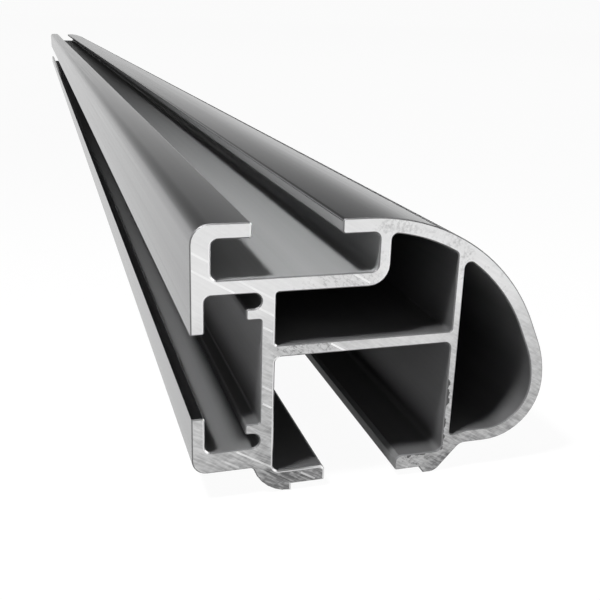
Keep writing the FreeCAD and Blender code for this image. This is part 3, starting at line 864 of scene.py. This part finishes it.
def painted_low_shade(graph, place, colours):
    """Painted shade on the sawn metal: darker towards the bottom, and more or less of it by the
    place across the section.
    """
    across, _, up = graph.node("SeparateXYZ", (-1500, -1000), {0: place}).outputs
    height = graph.math((-1200, -850), "DIVIDE", up, colours.painted_shade_height)
    low = graph.ramp((-900, -850), height, PAINTED_LOW_SHADE)
    share = graph.steps((-1200, -950), across, BAR_LOW.x, BAR_HIGH.x)
    side = graph.ramp((-900, -950), share, PAINTED_SHADE_ACROSS)
    return graph.math((-700, -850), "MULTIPLY", low, side)


def dull_patches(graph, place):
    """How dull the speckled patches are: hardly on the left of the bar, more on its right."""
    across = graph.node("SeparateXYZ", (-1500, -1100), {0: place}).outputs["X"]
    patches = graph.stretched_noise((-1200, -600), place, DULL_PATCHES, 3.0)
    most = graph.steps((-900, -1100), across, *DULL_ACROSS)
    patch = graph.steps((-900, -600), patches, *PATCH_SPAN, 0.0, most)
    grain = graph.stretched_noise((-1200, -100), place, GRAIN, 4.0)
    specks = graph.steps((-900, -100), grain, *SPECKS)
    return graph.math((-500, -400), "MULTIPLY", patch, specks)


def torn_patches(graph, place, along_cut):
    """How dull a few torn patches are: most on the fine lines in them, less beside these."""
    flat = graph.node("VectorMath", (-1400, -2800), {0: place, 1: (1, 0, 1)}, operation="MULTIPLY")
    torn = 0.0
    for row, (side, up, reach, strength) in enumerate(TORN):
        at = -2800 - 200 * row
        middle = {0: flat, 1: (side * MM, 0, up * MM)}
        away = graph.node("VectorMath", (-1200, at), middle, operation="DISTANCE").outputs["Value"]
        patch = graph.steps((-1000, at), away, reach * MM / 2, reach * MM, strength, 0.0)
        torn = graph.math((-800, at), "MAXIMUM", patch, torn)
    cells = graph.stretched_noise((-1200, -3500), along_cut, TORN_CELLS, 3.0)
    off = graph.math((-1000, -3500), "SUBTRACT", cells, 0.5)
    off = graph.math((-800, -3500), "ABSOLUTE", off)
    line = graph.steps((-600, -3500), off, *TORN_LINES)
    return graph.math((-400, -2800), "MULTIPLY", torn, line)


def chips(graph, place, places, colours):
    """Where the saw tore chips off the rib and the right lip of the bottom channel: 1, else 0.
    There the metal is painted dark, as the shade in the notches.
    """
    across, _, up = graph.node("SeparateXYZ", (-1500, -2000), {0: place}).outputs
    rough = graph.stretched_noise((-1200, -2000), place, CHIPPED_EDGE, 3.0)
    depth = graph.steps((-1000, -2000), rough, *CHIP_SPAN, 0.0, colours.chip_depth)
    rib, lip = BAR_LOW.x + places.rib_left, places.bottom_lip_top
    mouth = BAR_LOW.x + places.bottom_mouth_right
    rib_edge = (across, rib, up, lip, lip + colours.chip_reach)
    lip_edge = (up, lip, across, mouth, rib - colours.chip_gap)
    torn = 0.0
    for row, (beside, edge, along, low, high) in enumerate((rib_edge, lip_edge)):
        at = -2200 - 200 * row
        near = graph.math((-800, at), "COMPARE", beside, edge, depth)
        middle, reach = (low + high) / 2, (high - low) / 2
        within = graph.math((-800, at - 100), "COMPARE", along, middle, reach)
        chipped = graph.math((-600, at), "MULTIPLY", near, within)
        torn = graph.math((-400, at), "MAXIMUM", chipped, torn)
    return torn


def sawn_metal(finish, colours, places):
    """Bare metal across the saw cut: its marks, painted shade towards the bottom, deep scores, torn
    patches, and chips painted dark as the shade in their notches.
    """
    graph = Graph(finish)
    place = graph.node("TexCoord", (-1800, 0)).outputs["Object"]
    turned = {"Vector": place, "Rotation": (0, -colours.saw_slope, 0)}
    along_cut = graph.node("Mapping", (-1600, 200), turned)
    hatched = hatch(graph, place, along_cut, colours)
    # Painted shade, darker towards the bottom of the sawn end, broken up by the fine marks.
    low_shade = graph.math((-500, -850), "MULTIPLY", painted_low_shade(graph, place, colours), hatched)
    torn = graph.math((-300, -700), "MULTIPLY", torn_patches(graph, place, along_cut), hatched)
    # This holds the real dull and torn patches together with the painted shade towards the bottom.
    dull = graph.math((-300, -500), "MAXIMUM", dull_patches(graph, place), low_shade)
    dull = graph.math((-200, -500), "MAXIMUM", dull, torn)
    base = graph.mix_colour((-100, 0), dull, colours.sawn, colours.sawn_dull_and_shade)
    marks = graph.stretched_noise((-1200, 400), along_cut, SAW_MARKS, 3.0)
    share = graph.steps((-900, 400), marks, *MARK_SPAN, 0.0, colours.saw_share)
    base = graph.mix_colour((100, 100), share, base, colours.sawn_line)
    # The deep scores take the colour of the painted rim highlight.
    base = graph.mix_colour((300, 200), deep_scores(graph, along_cut, colours), base, colours.burr)
    # Torn chips along the edges, painted dark as the shade in their notches.
    base = graph.mix_colour((400, 200), chips(graph, place, places, colours), base, colours.chip_shade)
    relief = {"Height": marks, "Strength": 0.6, "Distance": colours.saw_relief}
    looks = {
        "Base Color": base,
        "Metallic": 1.0,
        "Roughness": colours.sawn_roughness,
        "Normal": graph.node("Bump", (100, -400), relief),
    }
    shader = graph.node("BsdfPrincipled", (500, 0), looks)
    graph.node("OutputMaterial", (800, 0), {0: shader})


def rim_highlight_metal(finish, colours):
    """Painted highlight on the broken edges and rims that face the light, with the painted shade
    towards the bottom like the metal around it.
    """
    graph = Graph(finish)
    place = graph.node("TexCoord", (-1800, 0)).outputs["Object"]
    share = graph.math((-400, 0), "MULTIPLY", painted_low_shade(graph, place, colours), colours.rim_low_shade)
    base = graph.mix_colour((-200, 0), share, colours.burr, colours.sawn_dull_and_shade)
    looks = {"Base Color": base, "Metallic": 1.0, "Roughness": colours.rim_highlight_roughness}
    shader = graph.node("BsdfPrincipled", (0, 0), looks)
    graph.node("OutputMaterial", (300, 0), {0: shader})


class CROSSBAR_OT_finishes(Operator):
    """Give the bar its anodised, etched and sawn finishes, the darker channel and bore copies that
    paint shade into the hollows, and the painted rim highlight
    """

    bl_idname = "crossbar.finishes"
    bl_label = "Finishes"

    def execute(self, context):
        c = context.scene.crossbar_colours
        metals = bpy.data.materials
        for name, *looks in (
            ("anodised", c.anodised, c.anodised_roughness, c.edge_tint, 1.0),
            ("etched", c.etched, c.etched_roughness, c.edge_tint, c.etched_metal),
            ("channel", c.channel, c.etched_roughness, c.edge_tint, c.etched_metal),
            ("bore", c.bore, c.bore_roughness, c.bore_tint, c.bore_metal),
        ):
            drawn_metal(metals[name], c, *looks)
        sawn_metal(metals["sawn"], c, Places(context.scene.crossbar_section))
        rim_highlight_metal(metals["burr"], c)
        return {"FINISHED"}


class CROSSBAR_OT_stage(Operator):
    """Lay the pale floor, hang the lamps and set up the camera"""

    bl_idname = "crossbar.stage"
    bl_label = "Stage"

    def execute(self, context):
        stage = context.scene.crossbar_stage
        context.scene.view_settings.view_transform = "Standard"
        self.lay_floor(stage)
        self.hang_lamps(stage)
        self.light_world(context.scene)
        self.set_camera(context.scene, stage)
        return {"FINISHED"}

    def lay_floor(self, stage):
        bpy.ops.object.select_all(action="DESELECT")
        bpy.ops.mesh.primitive_plane_add(size=stage.floor_width, location=(0, 0, -stage.floor_drop))
        floor = bpy.context.object
        floor.name = "floor"
        finish = bpy.data.materials.new("floor")
        floor.data.materials.append(finish)
        graph = Graph(finish)
        path = graph.node("LightPath", (-600, 200)).outputs
        seen = graph.math((-400, 200), "MAXIMUM", path["Is Camera Ray"], path["Is Glossy Ray"])
        seen = graph.math((-200, 200), "MAXIMUM", seen, path["Is Transmission Ray"])
        share = graph.math((0, 200), "MULTIPLY", seen, stage.floor_glow)
        matt = graph.node("BsdfDiffuse", (0, 0), {"Color": (*stage.floor_colour, 1)})
        glow = graph.node("Emission", (0, -150))
        mix = graph.node("MixShader", (200, 0), {0: share, 1: matt, 2: glow})
        graph.node("OutputMaterial", (400, 0), {0: mix})

    def hang_lamps(self, stage):
        for name in ("key", "top", "fill", "front"):
            place, aim = (Vector(getattr(stage, f"{name}_{part}")) for part in ("place", "aim"))
            bpy.ops.object.light_add(type="AREA", location=place)
            lamp = bpy.context.object
            lamp.name = f"{name}_lamp"
            lamp.data.size = getattr(stage, f"{name}_size")
            lamp.data.energy = getattr(stage, f"{name}_power")
            lamp.visible_camera = False
            lamp.rotation_euler = (place - aim).to_track_quat("Z", "Y").to_euler()
            if name == "key":
                lamp.data.spread = stage.key_spread

    def light_world(self, scene):
        scene.world = bpy.data.worlds.new("studio")
        graph = Graph(scene.world)
        place = graph.node("TexCoord", (-600, 0)).outputs["Generated"]
        height = graph.node("SeparateXYZ", (-400, 0), {0: place}).outputs["Z"]
        back = graph.node("Background", (100, 0), {0: graph.ramp((-200, 0), height, STUDIO)})
        graph.node("OutputWorld", (300, 0), {0: back})

    def set_camera(self, scene, stage):
        bpy.ops.object.camera_add(location=stage.camera_place, rotation=stage.camera_turn)
        camera = bpy.context.object
        camera.name = "camera"
        camera.data.lens = stage.camera_lens
        camera.data.clip_start = stage.camera_near
        camera.data.clip_end = stage.camera_far
        scene.camera = camera


class CROSSBAR_PT_panel(Panel):
    """Sizes, colours and buttons of the crossbar"""

    bl_label = "Crossbar"
    bl_space_type = "VIEW_3D"
    bl_region_type = "UI"
    bl_category = "Crossbar"

    def draw(self, context):
        for step in STEPS:
            self.layout.operator(step.bl_idname)
        for group in ("crossbar_section", "crossbar_colours", "crossbar_stage"):
            settings = getattr(context.scene, group)
            box = self.layout.box()
            for name in settings.bl_rna.properties.keys():
                if name not in ("rna_type", "name"):
                    box.prop(settings, name)


STEPS = (CROSSBAR_OT_bar, CROSSBAR_OT_finishes, CROSSBAR_OT_stage)
CLASSES = (SectionSizes, FinishColours, StageSizes, *STEPS, CROSSBAR_PT_panel)


def register():
    for item in CLASSES:
        bpy.utils.register_class(item)
    bpy.types.Scene.crossbar_section = PointerProperty(type=SectionSizes)
    bpy.types.Scene.crossbar_colours = PointerProperty(type=FinishColours)
    bpy.types.Scene.crossbar_stage = PointerProperty(type=StageSizes)


def unregister():
    del bpy.types.Scene.crossbar_section
    del bpy.types.Scene.crossbar_colours
    del bpy.types.Scene.crossbar_stage
    for item in reversed(CLASSES):
        bpy.utils.unregister_class(item)


def main():
    register()
    bpy.ops.crossbar.bar()
    bpy.ops.crossbar.finishes()
    bpy.ops.crossbar.stage()


if __name__ == "__main__":
    main()
